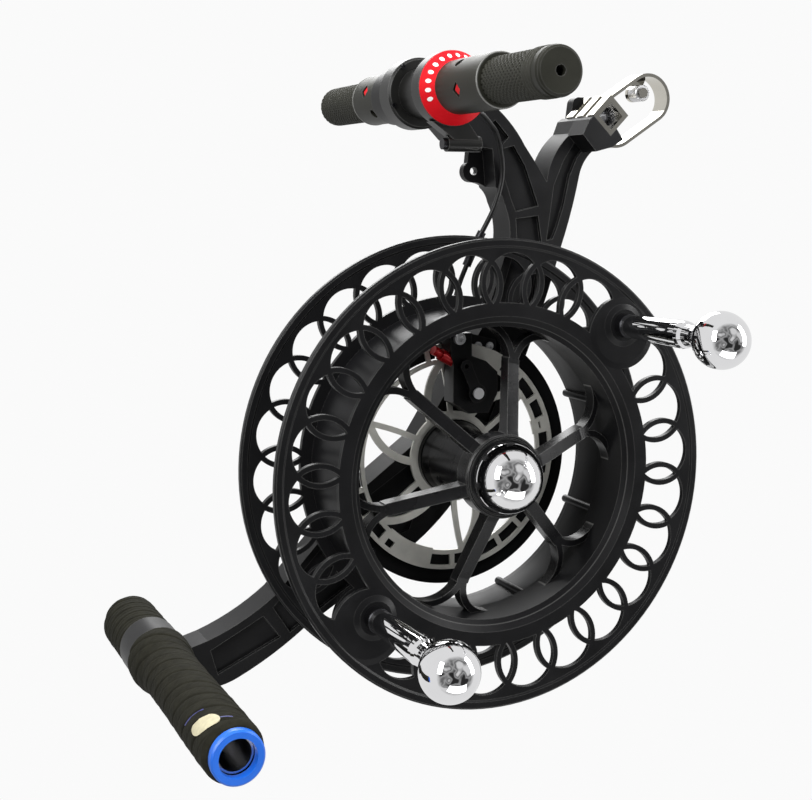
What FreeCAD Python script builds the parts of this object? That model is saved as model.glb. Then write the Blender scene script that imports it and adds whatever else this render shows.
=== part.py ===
"""Kite line winder: a flanged reel with a disc brake on a moulded frame.

Millimetres, +Z up.  The origin is the middle of the waist bar's bore, which runs along Y.
The reel turns about an axle parallel to Y.  Places on the reel are given from the axle and from the
front face of the front flange; +Y points away from the cranks, towards the frame.
"""
import FreeCAD, Part
import math
import os
import Sketcher
from FreeCAD import Vector

SIZES = [
    # where the main axes stand
    ("reach_x", 208.3, "waist bar to axle, sideways"),
    ("reach_z", 117.8, "waist bar to axle, upwards"),
    ("reel_front", -34.0, "front face of the front flange, from the waist bar's middle"),
    ("top_bar_x", -28.0, "top bar from the axle"),
    ("top_bar_z", 251.5, "top bar from the axle"),
    ("guide_x", 120.0, "line guide from the axle"),
    ("guide_z", 239.5, "line guide from the axle"),
    # reel
    ("flange_radius", 155.0, "outside of both flanges"),
    ("flange_wall", 3.5, "flange plate"),
    ("rim_width", 5.0, "rolled rim of a flange, across"),
    ("rim_proud", 0.8, "rolled rim above the plate"),
    ("rim_round", 1.2, "corner of the rolled rim"),
    ("reel_width", 75.1, "outside faces of the two flanges"),
    ("drum_radius", 105.0, "surface the line is wound on"),
    ("drum_wall", 8.0, "drum, where the spokes meet it"),
    ("drum_thin_wall", 3.2, "drum, behind the spokes"),
    ("face_inner_radius", 104.0, "inner edge of the front flange's face"),
    ("face_bevel", 6.0, "depth of the bevel behind that edge"),
    ("ring_pitch_radius", 126.0, "circle of the interlocking rings"),
    ("ring_inner", 19.7, "inside of one ring"),
    ("ring_band", 3.5, "width of a ring's band"),
    ("ring_count", 26, "rings round the flange"),
    ("ring_first_angle", 16.57, "a ring's angle from +X"),
    ("crank_upper", 133.0, "upper crank's spindle from the axle"),
    ("crank_upper_angle", 45.46, "upper crank's angle from +X"),
    ("crank_lower", 122.1, "lower crank's spindle from the axle"),
    ("crank_lower_angle", 223.47, "lower crank's angle from +X"),
    ("crank_pad_circle", 128.8, "solid pads under the cranks, from the axle"),
    ("crank_pad_angle", 44.0, "upper pad's angle from +X"),
    ("crank_pad_radius", 24.6, "solid pad under a crank"),
    ("crank_pad_rise", 2.0, "cone on the pad"),
    ("flange_screw_count", 8, "screws through the rear flange"),
    # hub
    ("axle_radius", 6.0, "fixed axle"),
    ("bearing_radius", 14.0, "outside of the two ball bearings"),
    ("bearing_width", 8.0, "ball bearing"),
    ("running_gap", 0.05, "radial clearance of what turns on a pin"),
    ("hub_face", -5.0, "front face of the hub"),
    ("hub_radius", 27.5, "hub behind the cap"),
    ("hub_back", 8.0, "back of the spider's hub"),
    ("barrel_radius", 19.0, "hub barrel behind the spider"),
    ("carrier_radius", 26.5, "barrel's end that carries the brake disc"),
    ("cap_radius", 23.4, "domed cap"),
    ("spoke_count", 6, "spokes of the spider"),
    ("spoke_angle", 15.5, "first spoke from +X"),
    ("spoke_width", 8.5, "spoke"),
    ("spoke_depth", 10.0, "spoke, along the axle"),
    ("spoke_dish", 23.0, "front of a spoke at the drum, behind the face"),
    ("fork_radius", 73.0, "where a spoke parts into two arms"),
    ("fork_width", 4.6, "arm of a spoke's fork"),
    ("fork_spread", 18.0, "angle from the spoke to an arm's foot"),
    # brake
    ("disc_front", 72.0, "front face of the brake disc"),
    ("disc_wall", 1.8, "brake disc"),
    ("disc_radius", 80.0, "outside of the brake disc"),
    ("track_width", 13.5, "ladder ring of the brake disc"),
    ("track_rail", 3.0, "rails of the ladder ring"),
    ("ladder_count", 24, "steps of the ladder ring"),
    ("disc_bolt_circle", 20.5, "bolts of the brake disc, from the axle"),
    ("lever_x", 9.5, "caliper lever's pivot from the axle"),
    ("lever_z", 46.5, "caliper lever's pivot from the axle"),
    # frame
    ("frame_front", 80.0, "front face of the frame"),
    ("frame_depth", 26.0, "frame, along the axle"),
    ("panel_depth", 3.0, "sunk panels in the frame's faces"),
    ("boss_radius", 24.0, "frame's boss round the axle"),
    ("guard_radius", 90.5, "ring that keeps line out of the brake"),
    ("lug_hole_radius", 2.8, "hole for the strap's snap hook"),
    # waist bar
    ("waist_bore", 9.5, "bore of the waist bar's tube"),
    ("waist_tube_wall", 1.5, "waist bar's tube"),
    ("waist_front", -99.0, "front end of the waist bar, from the reel's face"),
    ("waist_rear", 167.0, "rear end of the waist bar, from the reel's face"),
    ("waist_sleeve", 19.4, "frame's sleeve round the waist bar"),
    ("waist_grip_radius", 17.7, "front foam grip of the waist bar"),
    ("waist_rear_radius", 19.0, "rear foam grip of the waist bar"),
    ("waist_ring_radius", 15.4, "end ring of the waist bar"),
    ("end_ring_length", 6.0, "end rings of the waist bar"),
    # top bar
    ("core_radius", 8.0, "top bar's tube"),
    ("bar_front", -124.0, "front end of the top bar"),
    ("bar_rear", 223.0, "rear end of the top bar"),
    ("sleeve_radius", 17.5, "sleeves of the top bar"),
    ("grip_radius", 14.7, "grips of the top bar"),
    ("sleeve_front", -54.0, "front end of the front sleeve"),
    ("end_disc_front", 63.0, "front face of the disc that closes the clamp"),
    ("bar_boss_radius", 19.5, "frame's boss round the top bar"),
    ("dial_radius", 24.2, "drag dial"),
    ("dial_front", 4.0, "front face of the drag dial"),
    ("dial_back", 14.0, "back of the drag dial"),
    ("clamp_front", 14.5, "front of the clamp round the top bar"),
    ("clamp_back", 25.5, "back of the clamp round the top bar"),
    # crank knobs
    ("spindle_radius", 4.0, "crank spindle"),
    ("bush_radius", 8.0, "bush at the foot of a crank knob"),
    ("bush_length", 9.0, "bush at the foot of a crank knob"),
    ("ball_radius", 17.9, "ball of a crank knob"),
    ("ball_reach", 109.0, "ball's centre in front of the flange"),
    ("cup_radius", 15.2, "rim of the cup behind the ball"),
    # line guide
    ("guide_half", 14.0, "guide block, centre to corner"),
    ("guide_wall", 3.0, "guide block's wall, centre to corner"),
    ("guide_front", 60.0, "front face of the guide block"),
    ("guide_back", 98.0, "back of the guide block"),
    ("loop_radius", 18.2, "round ends of the guide loop"),
    ("loop_wall", 2.4, "guide loop's band"),
    ("loop_depth", 16.0, "guide loop's band, along the axle"),
    ("cable_radius", 1.75, "brake cable"),
]
class Size:
    """A number together with the spreadsheet formula it comes from, so that a piece can be bound
    to the formula and an outline can be worked out from the number."""

    def __init__(self, text, value):
        self.text = text
        self.value = value

    def __float__(self):
        return float(self.value)

    def __add__(self, other):
        return joint_size(self, "+", other, float(self) + float(other))

    def __radd__(self, other):
        return joint_size(other, "+", self, float(other) + float(self))

    def __sub__(self, other):
        return joint_size(self, "-", other, float(self) - float(other))

    def __rsub__(self, other):
        return joint_size(other, "-", self, float(other) - float(self))

    def __mul__(self, other):
        return joint_size(self, "*", other, float(self) * float(other))

    def __rmul__(self, other):
        return joint_size(other, "*", self, float(other) * float(self))

    def __truediv__(self, other):
        return joint_size(self, "/", other, float(self) / float(other))

    def __neg__(self):
        return joint_size(0, "-", self, -float(self))


def formula(size):
    return size.text if isinstance(size, Size) else repr(size)


def joint_size(left, sign, right, value):
    return Size("(%s %s %s)" % (formula(left), sign, formula(right)), value)


def cosine(angle):
    return Size("cos(%s)" % formula(angle), math.cos(math.radians(float(angle))))


def sine(angle):
    return Size("sin(%s)" % formula(angle), math.sin(math.radians(float(angle))))


class Dimensions:
    """Every alias of the sheet as a Size: d.axle_radius and so on."""


doc = FreeCAD.newDocument("kite_line_winder")
sheet = doc.addObject("Spreadsheet::Sheet", "dims")
d = Dimensions()
for line, (alias, number, note) in enumerate(SIZES, start=1):
    sheet.set("A%d" % line, note)
    sheet.set("B%d" % line, str(number))
    sheet.setAlias("B%d" % line, alias)
    setattr(d, alias, Size("dims." + alias, number))
doc.recompute()

PARTS = {}          # node name -> document object


# ---------------------------------------------------------------- helpers

def place(thing, x=0.0, z=0.0):
    """Stands a piece of the reel's frame at (x, z) from the axle."""
    thing.setExpression("Placement.Base.x", formula(d.reach_x + x))
    thing.setExpression("Placement.Base.y", formula(d.reel_front))
    thing.setExpression("Placement.Base.z", formula(d.reach_z + z))


def origin_plane(body, role):
    return [feature for feature in body.Origin.OriginFeatures if feature.Role == role][0]


def turned(name, profile, x=0.0, z=0.0, keep=True):
    """A piece turned about the Y direction from (radius, place along Y) corners."""
    body = doc.addObject("PartDesign::Body", name)
    body.Label = name if keep else name + "_body"
    sketch = body.newObject("Sketcher::SketchObject", name + "_profile")
    sketch.AttachmentSupport = [(origin_plane(body, "XY_Plane"), "")]
    sketch.MapMode = "FlatFace"
    corners = [Vector(float(radius), float(y), 0) for radius, y in profile]
    count = len(corners)
    for i in range(count):
        sketch.addGeometry(Part.LineSegment(corners[i], corners[(i + 1) % count]), False)
    for i in range(count):
        sketch.addConstraint(Sketcher.Constraint("Coincident", i, 2, (i + 1) % count, 1))
    for i, (radius, y) in enumerate(profile):
        if float(radius) == 0:
            sketch.addConstraint(Sketcher.Constraint("PointOnObject", i, 1, -2))
        else:
            row = sketch.addConstraint(Sketcher.Constraint("DistanceX", -1, 1, i, 1, corners[i].x))
            sketch.setExpression("Constraints[%d]" % row, formula(radius))
        row = sketch.addConstraint(Sketcher.Constraint("DistanceY", -1, 1, i, 1, corners[i].y))
        sketch.setExpression("Constraints[%d]" % row, formula(y))
    turn = body.newObject("PartDesign::Revolution", name + "_turn")
    turn.Profile = sketch
    turn.ReferenceAxis = (sketch, ["V_Axis"])
    turn.Angle = 360
    place(body, x, z)
    if keep:
        PARTS[name] = body
    return body


def ring(name, inner, outer, front, back, x=0.0, z=0.0, keep=True, chamfer=0.4):
    """A plain turned ring with chamfered outer edges."""
    return turned(name, [
        (inner, front), (outer - chamfer, front), (outer, front + chamfer), (outer, back - chamfer),
        (outer - chamfer, back), (inner, back)], x, z, keep)


def shaped(name, shape, x=0.0, z=0.0, keep=True):
    """A piece whose outline is worked out below, in the reel's frame."""
    piece = doc.addObject("Part::Feature", name)
    piece.Label = name if keep else name + "_shape"
    piece.Shape = shape
    place(piece, x, z)
    if keep:
        PARTS[name] = piece
    return piece


def cut(name, base, tool, keep=True):
    piece = doc.addObject("Part::Cut", name + "_cut")
    piece.Label = name
    piece.Base = base
    piece.Tool = tool
    if keep:
        PARTS[name] = piece
    return piece


def fuse(name, pieces, keep=True):
    piece = doc.addObject("Part::MultiFuse", name + "_fuse")
    piece.Label = name
    piece.Shapes = pieces
    if keep:
        PARTS[name] = piece
    return piece


def common(name, one, other, keep=True):
    piece = doc.addObject("Part::MultiCommon", name + "_common")
    piece.Label = name
    piece.Shapes = [one, other]
    if keep:
        PARTS[name] = piece
    return piece


def polar(radius, degrees):
    angle = math.radians(float(degrees))
    return float(radius) * math.cos(angle), float(radius) * math.sin(angle)


def at(x, z, y=0.0):
    return Vector(float(x), float(y), float(z))


def outline(steps):
    """A closed face in the XZ plane from steps: (x, z) goes straight, (x, z, mx, mz) by an arc
    through (mx, mz)."""
    edges = []
    here = at(*steps[0][:2])
    for step in steps[1:] + steps[:1]:
        there = at(step[0], step[1])
        if len(step) == 4:
            edges.append(Part.Arc(here, at(step[2], step[3]), there).toShape())
        else:
            edges.append(Part.LineSegment(here, there).toShape())
        here = there
    return Part.Face(Part.Wire(edges))


def slab(steps, front, back):
    face = outline(steps)
    face.translate(Vector(0, float(front), 0))
    return face.extrude(Vector(0, float(back) - float(front), 0))


def disc(radius, x, z, front, back):
    return Part.makeCylinder(float(radius), float(back) - float(front), at(x, z, front), Vector(0, 1, 0))


def ring_slab(inner, outer, front, back, x=0.0, z=0.0):
    return disc(outer, x, z, front, back).cut(disc(inner, x, z, float(front) - 1, float(back) + 1))


def annular(inner, outer, start, end, front, back):
    """A sector of a flat ring, between two angles."""
    middle = (float(start) + float(end)) / 2
    return slab([polar(inner, start) + polar(inner, middle), polar(outer, start),
                 polar(outer, end) + polar(outer, middle), polar(inner, end)], front, back)


def band(p, q, r, width, front, back):
    """A band of even width that follows the arc through three points of the XZ plane."""
    centre = Part.Arc(at(*p), at(*q), at(*r)).toShape().Curve.Center
    half = float(width) / 2

    def moved(point, by):
        away = at(*point) - centre
        away.normalize()
        spot = at(*point) + away * by
        return spot.x, spot.z
    outer = [moved(s, half) for s in (p, q, r)]
    inner = [moved(s, -half) for s in (p, q, r)]
    return slab([outer[0], outer[2] + outer[1], inner[2], inner[0] + inner[1]], front, back)


def bar(p, q, width, front, back):
    """A straight band between two points of the XZ plane."""
    along = at(*q) - at(*p)
    along.normalize()
    side = Vector(-along.z, 0, along.x) * (float(width) / 2)
    corners = [at(*p) + side, at(*q) + side, at(*q) - side, at(*p) - side]
    return slab([(c.x, c.z) for c in corners], front, back)


def rod(start, end, radius):
    along = end - start
    return Part.makeCylinder(float(radius), along.Length, start, along)


def joined(shapes):
    return shapes[0].multiFuse(shapes[1:]).removeSplitter()


def bolted(name, head_radius, head_length, shank_radius, shank_length, face, places, outward=-1):
    """A group of equal socket screws along Y.  Heads stand on the face, on the outward side."""
    screws = [socket_screw(head_radius, head_length, shank_radius, shank_length, at(*place, face), outward)
              for place in places]
    return shaped(name, Part.makeCompound(screws))


def socket_screw(head_radius, head_length, shank_radius, shank_length, foot, outward):
    away = Vector(0, outward, 0)
    head = Part.makeCylinder(head_radius, head_length, foot, away)
    socket = Part.makeCylinder(head_radius * 0.5, head_length * 0.5, foot + away * (head_length * 0.5), away)
    shank = Part.makeCylinder(shank_radius, float(shank_length), foot, away * -1)
    return head.cut(socket).fuse(shank)


# ---------------------------------------------------------------- reel: flanges and drum

DRUM_INNER = d.drum_radius - d.drum_wall
BEVEL_RADIUS = d.face_inner_radius - (d.face_inner_radius - DRUM_INNER) * d.flange_wall / d.face_bevel
REAR_PLATE = d.reel_width - d.flange_wall
THIN_INNER = d.drum_radius - d.drum_thin_wall
CRANKS = {"upper": (d.crank_upper * cosine(d.crank_upper_angle), d.crank_upper * sine(d.crank_upper_angle)),
          "lower": (d.crank_lower * cosine(d.crank_lower_angle), d.crank_lower * sine(d.crank_lower_angle))}
PAD_X = d.crank_pad_circle * cosine(d.crank_pad_angle)
PAD_Z = d.crank_pad_circle * sine(d.crank_pad_angle)
PADS = {"upper": (PAD_X, PAD_Z), "lower": (-PAD_X, -PAD_Z)}
SCREW_RADIUS = 1.5          # M3 screws of the rear flange
SCREW_BOSS = 2.8
SCREW_LENGTH = 15.0


def rim(face, back):
    """Rolled rim of a flange, from the plate's front round to its back."""
    foot = d.flange_radius - d.rim_width
    front_lip = face - d.rim_proud
    rear_lip = back + d.rim_proud
    return [(foot - d.rim_round, face), (foot, front_lip), (d.flange_radius - d.rim_round, front_lip),
            (d.flange_radius, front_lip + d.rim_round), (d.flange_radius, rear_lip - d.rim_round),
            (d.flange_radius - d.rim_round, rear_lip), (foot, rear_lip), (foot - d.rim_round, back)]


def windows(front, back, pads):
    """Openings left between interlocking rings: a lens where two rings cross, and a waisted
    opening inside each ring.  Those that a crank pad covers are left out."""
    count = int(float(d.ring_count))
    pitch = 360.0 / count
    inner = float(d.ring_inner)
    outer = float(d.ring_inner + d.ring_band)
    radius = float(d.ring_pitch_radius)
    pad_radius = float(d.crank_pad_radius)
    foot_margin = 8.0
    smallest = 60.0
    spacing = radius * 2 * math.sin(math.radians(pitch / 2))
    centres = [polar(radius, float(d.ring_first_angle) - pitch * k) for k in range(count)]

    def round_cut(spot, r):
        return disc(r, spot[0], spot[1], front, back)

    def near(spot, pad, reach):
        return math.hypot(spot[0] - float(pad[0]), spot[1] - float(pad[1])) < reach
    cuts = []
    for k, here in enumerate(centres):
        before, after = centres[k - 1], centres[(k + 1) % count]
        middle = ((here[0] + after[0]) / 2, (here[1] + after[1]) / 2)
        if not any(near(middle, pad, pad_radius) for pad in pads):
            cuts.append(round_cut(here, inner).common(round_cut(after, inner)))
        if any(near(here, pad, spacing / 2) for pad in pads):
            continue
        waisted = round_cut(here, inner).cut(round_cut(before, outer)).cut(round_cut(after, outer))
        waisted = waisted.cut(disc(d.drum_radius + foot_margin, 0, 0, front, back))
        for pad in pads:
            if near(here, pad, pad_radius + inner):
                waisted = waisted.cut(round_cut(pad, pad_radius))
        cuts.extend(solid for solid in waisted.Solids if solid.Volume > smallest)
    return cuts


def front_flange():
    plate = turned("front_flange_plate", [(BEVEL_RADIUS, d.flange_wall), (d.face_inner_radius, 0)]
                   + rim(0, d.flange_wall), keep=False)
    pads = []
    for side, (x, z) in PADS.items():
        pads.append(turned("crank_pad_" + side, [
            (0, d.flange_wall), (d.crank_pad_radius, d.flange_wall), (d.crank_pad_radius, 0),
            (d.crank_pad_radius - 4, -0.4), (0, -0.4)], x, z, keep=False))
    for side, (x, z) in CRANKS.items():
        pads.append(turned("crank_seat_" + side, [
            (0, d.flange_wall), (d.bush_radius + 7, d.flange_wall), (d.bush_radius + 7, -0.2),
            (d.bush_radius + 3, -d.crank_pad_rise), (0, -d.crank_pad_rise)], x, z, keep=False))
    blank = fuse("front_flange_blank", [plate] + pads, keep=False)
    front, back = -5.0, d.flange_wall + 5
    holes = [disc(d.spindle_radius, x, z, front, back) for x, z in CRANKS.values()]
    cuts = windows(front, back, list(PADS.values())) + holes
    cut("front_flange", blank, shaped("front_flange_windows", Part.makeCompound(cuts), keep=False))


def flange_screw_places():
    count = int(float(d.flange_screw_count))
    radius = d.drum_radius - SCREW_BOSS - 0.6
    return [polar(radius, 360.0 / count * (k + 0.5)) for k in range(count)]


def screw_bosses(name, front, back):
    seats = [disc(SCREW_BOSS, x, z, front, back) for x, z in flange_screw_places()]
    return shaped(name, Part.makeCompound(seats), keep=False)


def rear_flange():
    plate = turned("rear_flange_plate", [(THIN_INNER, d.reel_width), (THIN_INNER, REAR_PLATE)]
                   + rim(REAR_PLATE, d.reel_width), keep=False)
    blank = fuse("rear_flange_blank", [plate, screw_bosses("flange_screw_seats", REAR_PLATE, d.reel_width)],
                 keep=False)
    front, back = REAR_PLATE - 5, d.reel_width + 5
    holes = [disc(SCREW_RADIUS, x, z, front, back) for x, z in flange_screw_places()]
    cuts = windows(front, back, []) + holes
    cut("rear_flange", blank, shaped("rear_flange_windows", Part.makeCompound(cuts), keep=False))


def spool_drum():
    step = d.spoke_dish + d.spoke_depth + 3
    wall = turned("spool_drum_wall", [
        (BEVEL_RADIUS, d.flange_wall), (DRUM_INNER, d.face_bevel), (DRUM_INNER, step), (THIN_INNER, step + 4),
        (THIN_INNER, REAR_PLATE), (d.drum_radius, REAR_PLATE), (d.drum_radius, d.flange_wall)], keep=False)
    blank = fuse("spool_drum_blank", [wall, screw_bosses("drum_screw_bosses", step, REAR_PLATE)], keep=False)
    depth = d.reel_width - SCREW_LENGTH
    holes = [disc(SCREW_RADIUS, x, z, depth, d.reel_width) for x, z in flange_screw_places()]
    cut("spool_drum", blank, shaped("spool_drum_holes", Part.makeCompound(holes), keep=False))


def flange_screws():
    bolted("flange_screws", 2.7, 1.6, SCREW_RADIUS, SCREW_LENGTH, d.reel_width,
           flange_screw_places(), outward=1)


# ---------------------------------------------------------------- reel: spider and hub

def reel_spider():
    """Six dished spokes, each parting into two arms that sweep into the drum's wall."""
    front, back = d.hub_face - 2, d.spoke_dish + d.spoke_depth + 2
    wall = float(DRUM_INNER)
    fork = float(d.fork_radius)
    count = int(float(d.spoke_count))
    shapes = [disc(d.hub_radius, 0, 0, front, back)]
    for k in range(count):
        angle = float(d.spoke_angle) + 360.0 / count * k
        shapes.append(bar(polar(d.hub_radius - 4, angle), polar(fork + 3, angle), d.spoke_width, front, back))
        for side in (-1, 1):
            spread = side * float(d.fork_spread)
            shapes.append(band(polar(fork - 2, angle + side * 0.8),
                               polar(fork + 0.7 * (wall - fork), angle + spread * 0.3),
                               polar(wall + 2.5, angle + spread), d.fork_width, front, back))
    plan = shaped("spider_plan", joined(shapes), keep=False)
    drop = 7
    dish = turned("spider_dish", [
        (d.bearing_radius, d.hub_face), (d.hub_radius, d.hub_face), (d.hub_radius + 3, d.hub_face + 2),
        (d.fork_radius, d.spoke_dish - drop), (DRUM_INNER, d.spoke_dish),
        (DRUM_INNER, d.spoke_dish + d.spoke_depth), (d.fork_radius, d.spoke_dish + d.spoke_depth - drop),
        (d.hub_radius + 3, d.hub_back), (d.bearing_radius, d.hub_back)], keep=False)
    common("reel_spider", plan, dish)


BOLT_RADIUS = 2.0           # M4 bolts of the brake disc
BOLT_DEPTH = 4.5


def disc_bolt_places():
    return [polar(d.disc_bolt_circle, 60 * k + 30) for k in range(6)]


def hub_barrel():
    seat = d.disc_front - d.bearing_width
    blank = turned("hub_barrel_turning", [
        (d.axle_radius + 3, d.hub_back), (d.barrel_radius, d.hub_back),
        (d.barrel_radius + 1.5, d.hub_back + 20),
        (d.barrel_radius + 5, d.disc_front - 12), (d.carrier_radius - 0.8, d.disc_front - 5),
        (d.carrier_radius, d.disc_front - 4), (d.carrier_radius, d.disc_front),
        (d.bearing_radius, d.disc_front), (d.bearing_radius, seat), (d.axle_radius + 3, seat)], keep=False)
    holes = [disc(BOLT_RADIUS, x, z, d.disc_front - BOLT_DEPTH, d.disc_front + 1)
             for x, z in disc_bolt_places()]
    cut("hub_barrel", blank, shaped("hub_barrel_holes", Part.makeCompound(holes), keep=False))


def ball_bearings():
    """Two sealed bearings: inner and outer race with sunk shields between them."""
    bore = d.axle_radius + d.running_gap
    inner_race = d.axle_radius + 2.4
    outer_race = d.bearing_radius - 2.2
    sunk = 0.6
    units = []
    for side, back in (("front", d.hub_back), ("rear", d.disc_front)):
        front = back - d.bearing_width
        units.append(turned("bearing_" + side, [
            (bore, front), (inner_race, front), (inner_race, front + sunk), (outer_race, front + sunk),
            (outer_race, front), (d.bearing_radius, front), (d.bearing_radius, back), (outer_race, back),
            (outer_race, back - sunk), (inner_race, back - sunk), (inner_race, back), (bore, back)],
            keep=False))
    group("bearings", units)


def hub_bezel():
    lip = d.cap_radius + 1.2
    turned("hub_bezel", [
        (d.cap_radius - 4, d.hub_face), (d.hub_radius, d.hub_face), (d.hub_radius, d.hub_face - 1.2),
        (d.hub_radius - 0.8, d.hub_face - 2), (lip + 0.8, d.hub_face - 2), (lip, d.hub_face - 1),
        (d.cap_radius - 4, d.hub_face - 1)])


def hub_cap():
    """Hollow dome over the axle's front nut, a little more than half a sphere, on the bezel's step."""
    foot = float(d.hub_face - 1)
    radius = float(d.cap_radius)
    wall = 1.6
    centre = at(0, 0, foot - 4)
    half_space = Part.makeBox(4 * radius, 3 * radius, 4 * radius,
                              Vector(-2 * radius, foot - 3 * radius, -2 * radius))
    dome = Part.makeSphere(radius, centre).cut(Part.makeSphere(radius - wall, centre))
    shaped("hub_cap", dome.common(half_space))


NUT_LENGTH = 7.0
AXLE_REAR = d.frame_front + d.frame_depth


def axle():
    front = d.hub_back - d.bearing_width - NUT_LENGTH - 2.5
    back = AXLE_REAR + 12
    lead = 0.8
    turned("axle", [(0, front), (d.axle_radius - lead, front), (d.axle_radius, front + lead),
                    (d.axle_radius, back - lead), (d.axle_radius - lead, back), (0, back)])
    nut("axle_front_nut", d.hub_back - d.bearing_width - NUT_LENGTH - 0.4, NUT_LENGTH, d.axle_radius + 4)
    nut("axle_rear_nut", AXLE_REAR + 2, NUT_LENGTH + 1, d.axle_radius + 5)
    ring("axle_washer", d.axle_radius + 0.1, d.axle_radius * 2 + 1, AXLE_REAR, AXLE_REAR + 2)
    ring("axle_spacer", d.axle_radius + 0.1, d.axle_radius + 2.2, d.disc_front + 0.3, d.frame_front)


def nut(name, front, length, across):
    """Hexagon nut on the axle; across is from the centre to a corner."""
    corners = [polar(across, 60 * k) for k in range(6)]
    blank = slab(corners, front, front + length)
    shaped(name, blank.cut(disc(d.axle_radius, 0, 0, front - 1, front + length + 1)))


# ---------------------------------------------------------------- brake

DISC_BACK = d.disc_front + d.disc_wall
SOLID_SECTORS = ((69.0, 11.0), (241.5, 15.5), (14.0, 4.5))     # middle and half angle of solid stretches


def brake_disc():
    """Ladder ring with two solid sectors, on V struts that lean forward from an inner ring."""
    front, back = d.disc_front, DISC_BACK
    outer = d.disc_radius
    inner = d.disc_radius - d.track_width
    foot = d.carrier_radius + 3
    steps = int(float(d.ladder_count))
    shapes = [ring_slab(outer - d.track_rail, outer, front, back),
              ring_slab(inner, inner + d.track_rail, front, back),
              ring_slab(d.bearing_radius + 2, foot + 2.5, front, back)]
    for k in range(steps):
        angle = 360.0 / steps * k
        shapes.append(bar(polar(inner + 1, angle), polar(outer - 1, angle), 3.6, front, back))
    for middle, half in SOLID_SECTORS:
        shapes.append(annular(inner - 1, outer - 1, middle - half, middle + half, front, back))
    for k in range(6):
        tip = 36.5 + 60 * k
        for lean, width in ((-4.0, 4.0), (26.5, 5.2)):
            shapes.append(band(polar(inner + 1.5, tip), polar((inner + foot) / 2, tip + 0.62 * lean),
                               polar(foot + 1, tip + lean), width, front, back))
    plate = joined(shapes)
    plate = plate.cut(bar(polar(72, 230), polar(77, 230), 6, front - 1, back + 1))
    plate = plate.cut(bar(polar(72, 12), polar(72, 16), 1.8, front - 1, back + 1))
    for x, z in disc_bolt_places():
        plate = plate.cut(disc(BOLT_RADIUS, x, z, front - 1, back + 1))
    shaped("brake_disc", plate)
    bolted("brake_disc_bolts", 3.6, 2.4, BOLT_RADIUS, BOLT_DEPTH + d.disc_wall, back, disc_bolt_places(),
           outward=1)


PAD_GAP = 0.4                       # brake pad to disc at rest
PAD_RADIUS = 6.5
PAD_SPOT = (-1.0, 72.5)
FRONT_BLOCK = d.disc_front - 16     # front of the caliper's body
BLOCK_BACK = d.disc_front - 1.2
JAW_FRONT = DISC_BACK + 2.2
JAW_BACK = d.frame_front
CALIPER_BOLT = (-3.0, 84.4)
MOUNT_SCREWS = [(21.5, 76.5), (30.5, 76.0)]
MOUNT_GRIP = 10.0
PIVOT_RADIUS = 2.5
ADJUSTER = (Vector(-5, 61.5, 68.5), Vector(-15, 60, 73.8), Vector(-21, 59, 77))


def adjuster_shape():
    foot, shoulder, tip = ADJUSTER
    return joined([rod(foot, shoulder, 4.2), rod(shoulder, tip, 3.2)])


def caliper(line):
    """Body in front of the disc that reaches over its edge to a jaw screwed to the frame's neck."""
    block = slab([(-7, 68), (-7, 40), (5, 32), (20, 32), (27, 45), (27, 60), (18, 68), (7, 72), (7, 88),
                  (-9, 88), (-9, 74)], FRONT_BLOCK, BLOCK_BACK)
    bridge = slab([(-9, 81.2), (7, 81.2), (7, 88), (-9, 88)], FRONT_BLOCK, JAW_BACK)
    jaw = slab([(-9, 62), (30, 58), (36, 70), (36, 80), (7, 88), (-9, 88)], JAW_FRONT, JAW_BACK)
    body = joined([block, bridge, jaw])
    body = body.cut(disc(d.disc_radius + 1.2, 0, 0, BLOCK_BACK, JAW_FRONT))
    body = body.cut(disc(PAD_RADIUS + d.running_gap, *PAD_SPOT, BLOCK_BACK - 4.6, BLOCK_BACK + 1))
    body = body.cut(disc(PAD_RADIUS, *PAD_SPOT, JAW_FRONT - 1, JAW_FRONT + 1))
    body = body.cut(disc(PIVOT_RADIUS, d.lever_x, d.lever_z, FRONT_BLOCK - 1, BLOCK_BACK + 1))
    body = body.cut(disc(2.5, *CALIPER_BOLT, FRONT_BLOCK - 1, JAW_BACK + 1))
    for spot in MOUNT_SCREWS:
        body = body.cut(disc(1.6, *spot, JAW_FRONT - 1, JAW_BACK + 1))
    shaped("caliper_body", body.cut(adjuster_shape()).cut(line))
    shaped("pad_adjuster", adjuster_shape())
    screws = [socket_screw(4.0, 3.0, 2.5, JAW_BACK - FRONT_BLOCK, at(*CALIPER_BOLT, FRONT_BLOCK), -1)]
    screws += [socket_screw(2.9, 1.6, 1.6, JAW_BACK - JAW_FRONT + MOUNT_GRIP, at(*spot, JAW_FRONT), -1)
               for spot in MOUNT_SCREWS]
    shaped("caliper_bolts", Part.makeCompound(screws))
    shaped("brake_pad_fixed", disc(PAD_RADIUS, *PAD_SPOT, DISC_BACK + PAD_GAP, JAW_FRONT + 1))
    shaped("brake_pad_moving", disc(PAD_RADIUS, *PAD_SPOT, BLOCK_BACK - 4, d.disc_front - PAD_GAP))


LEVER_BACK = FRONT_BLOCK - 0.4


def lever():
    """Arm on the caliper's pivot, with an eye for the inner wire at its far end."""
    x, z = float(d.lever_x), float(d.lever_z)
    front = LEVER_BACK - 4
    far = (x - 8.5, z + 19)
    arm = joined([bar((x, z), far, 8, front, LEVER_BACK), disc(6.5, x, z, front, LEVER_BACK),
                  disc(4.4, *far, front, LEVER_BACK)])
    arm = arm.cut(disc(PIVOT_RADIUS + d.running_gap, x, z, front - 1, LEVER_BACK + 1))
    shaped("caliper_lever", arm.cut(disc(1.6, *far, front - 1, LEVER_BACK + 1)))
    pin = disc(PIVOT_RADIUS, x, z, front - 0.4, BLOCK_BACK)
    shaped("caliper_pivot", joined([pin, disc(3.9, x, z, front - 2, front - 0.4)]))


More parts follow.
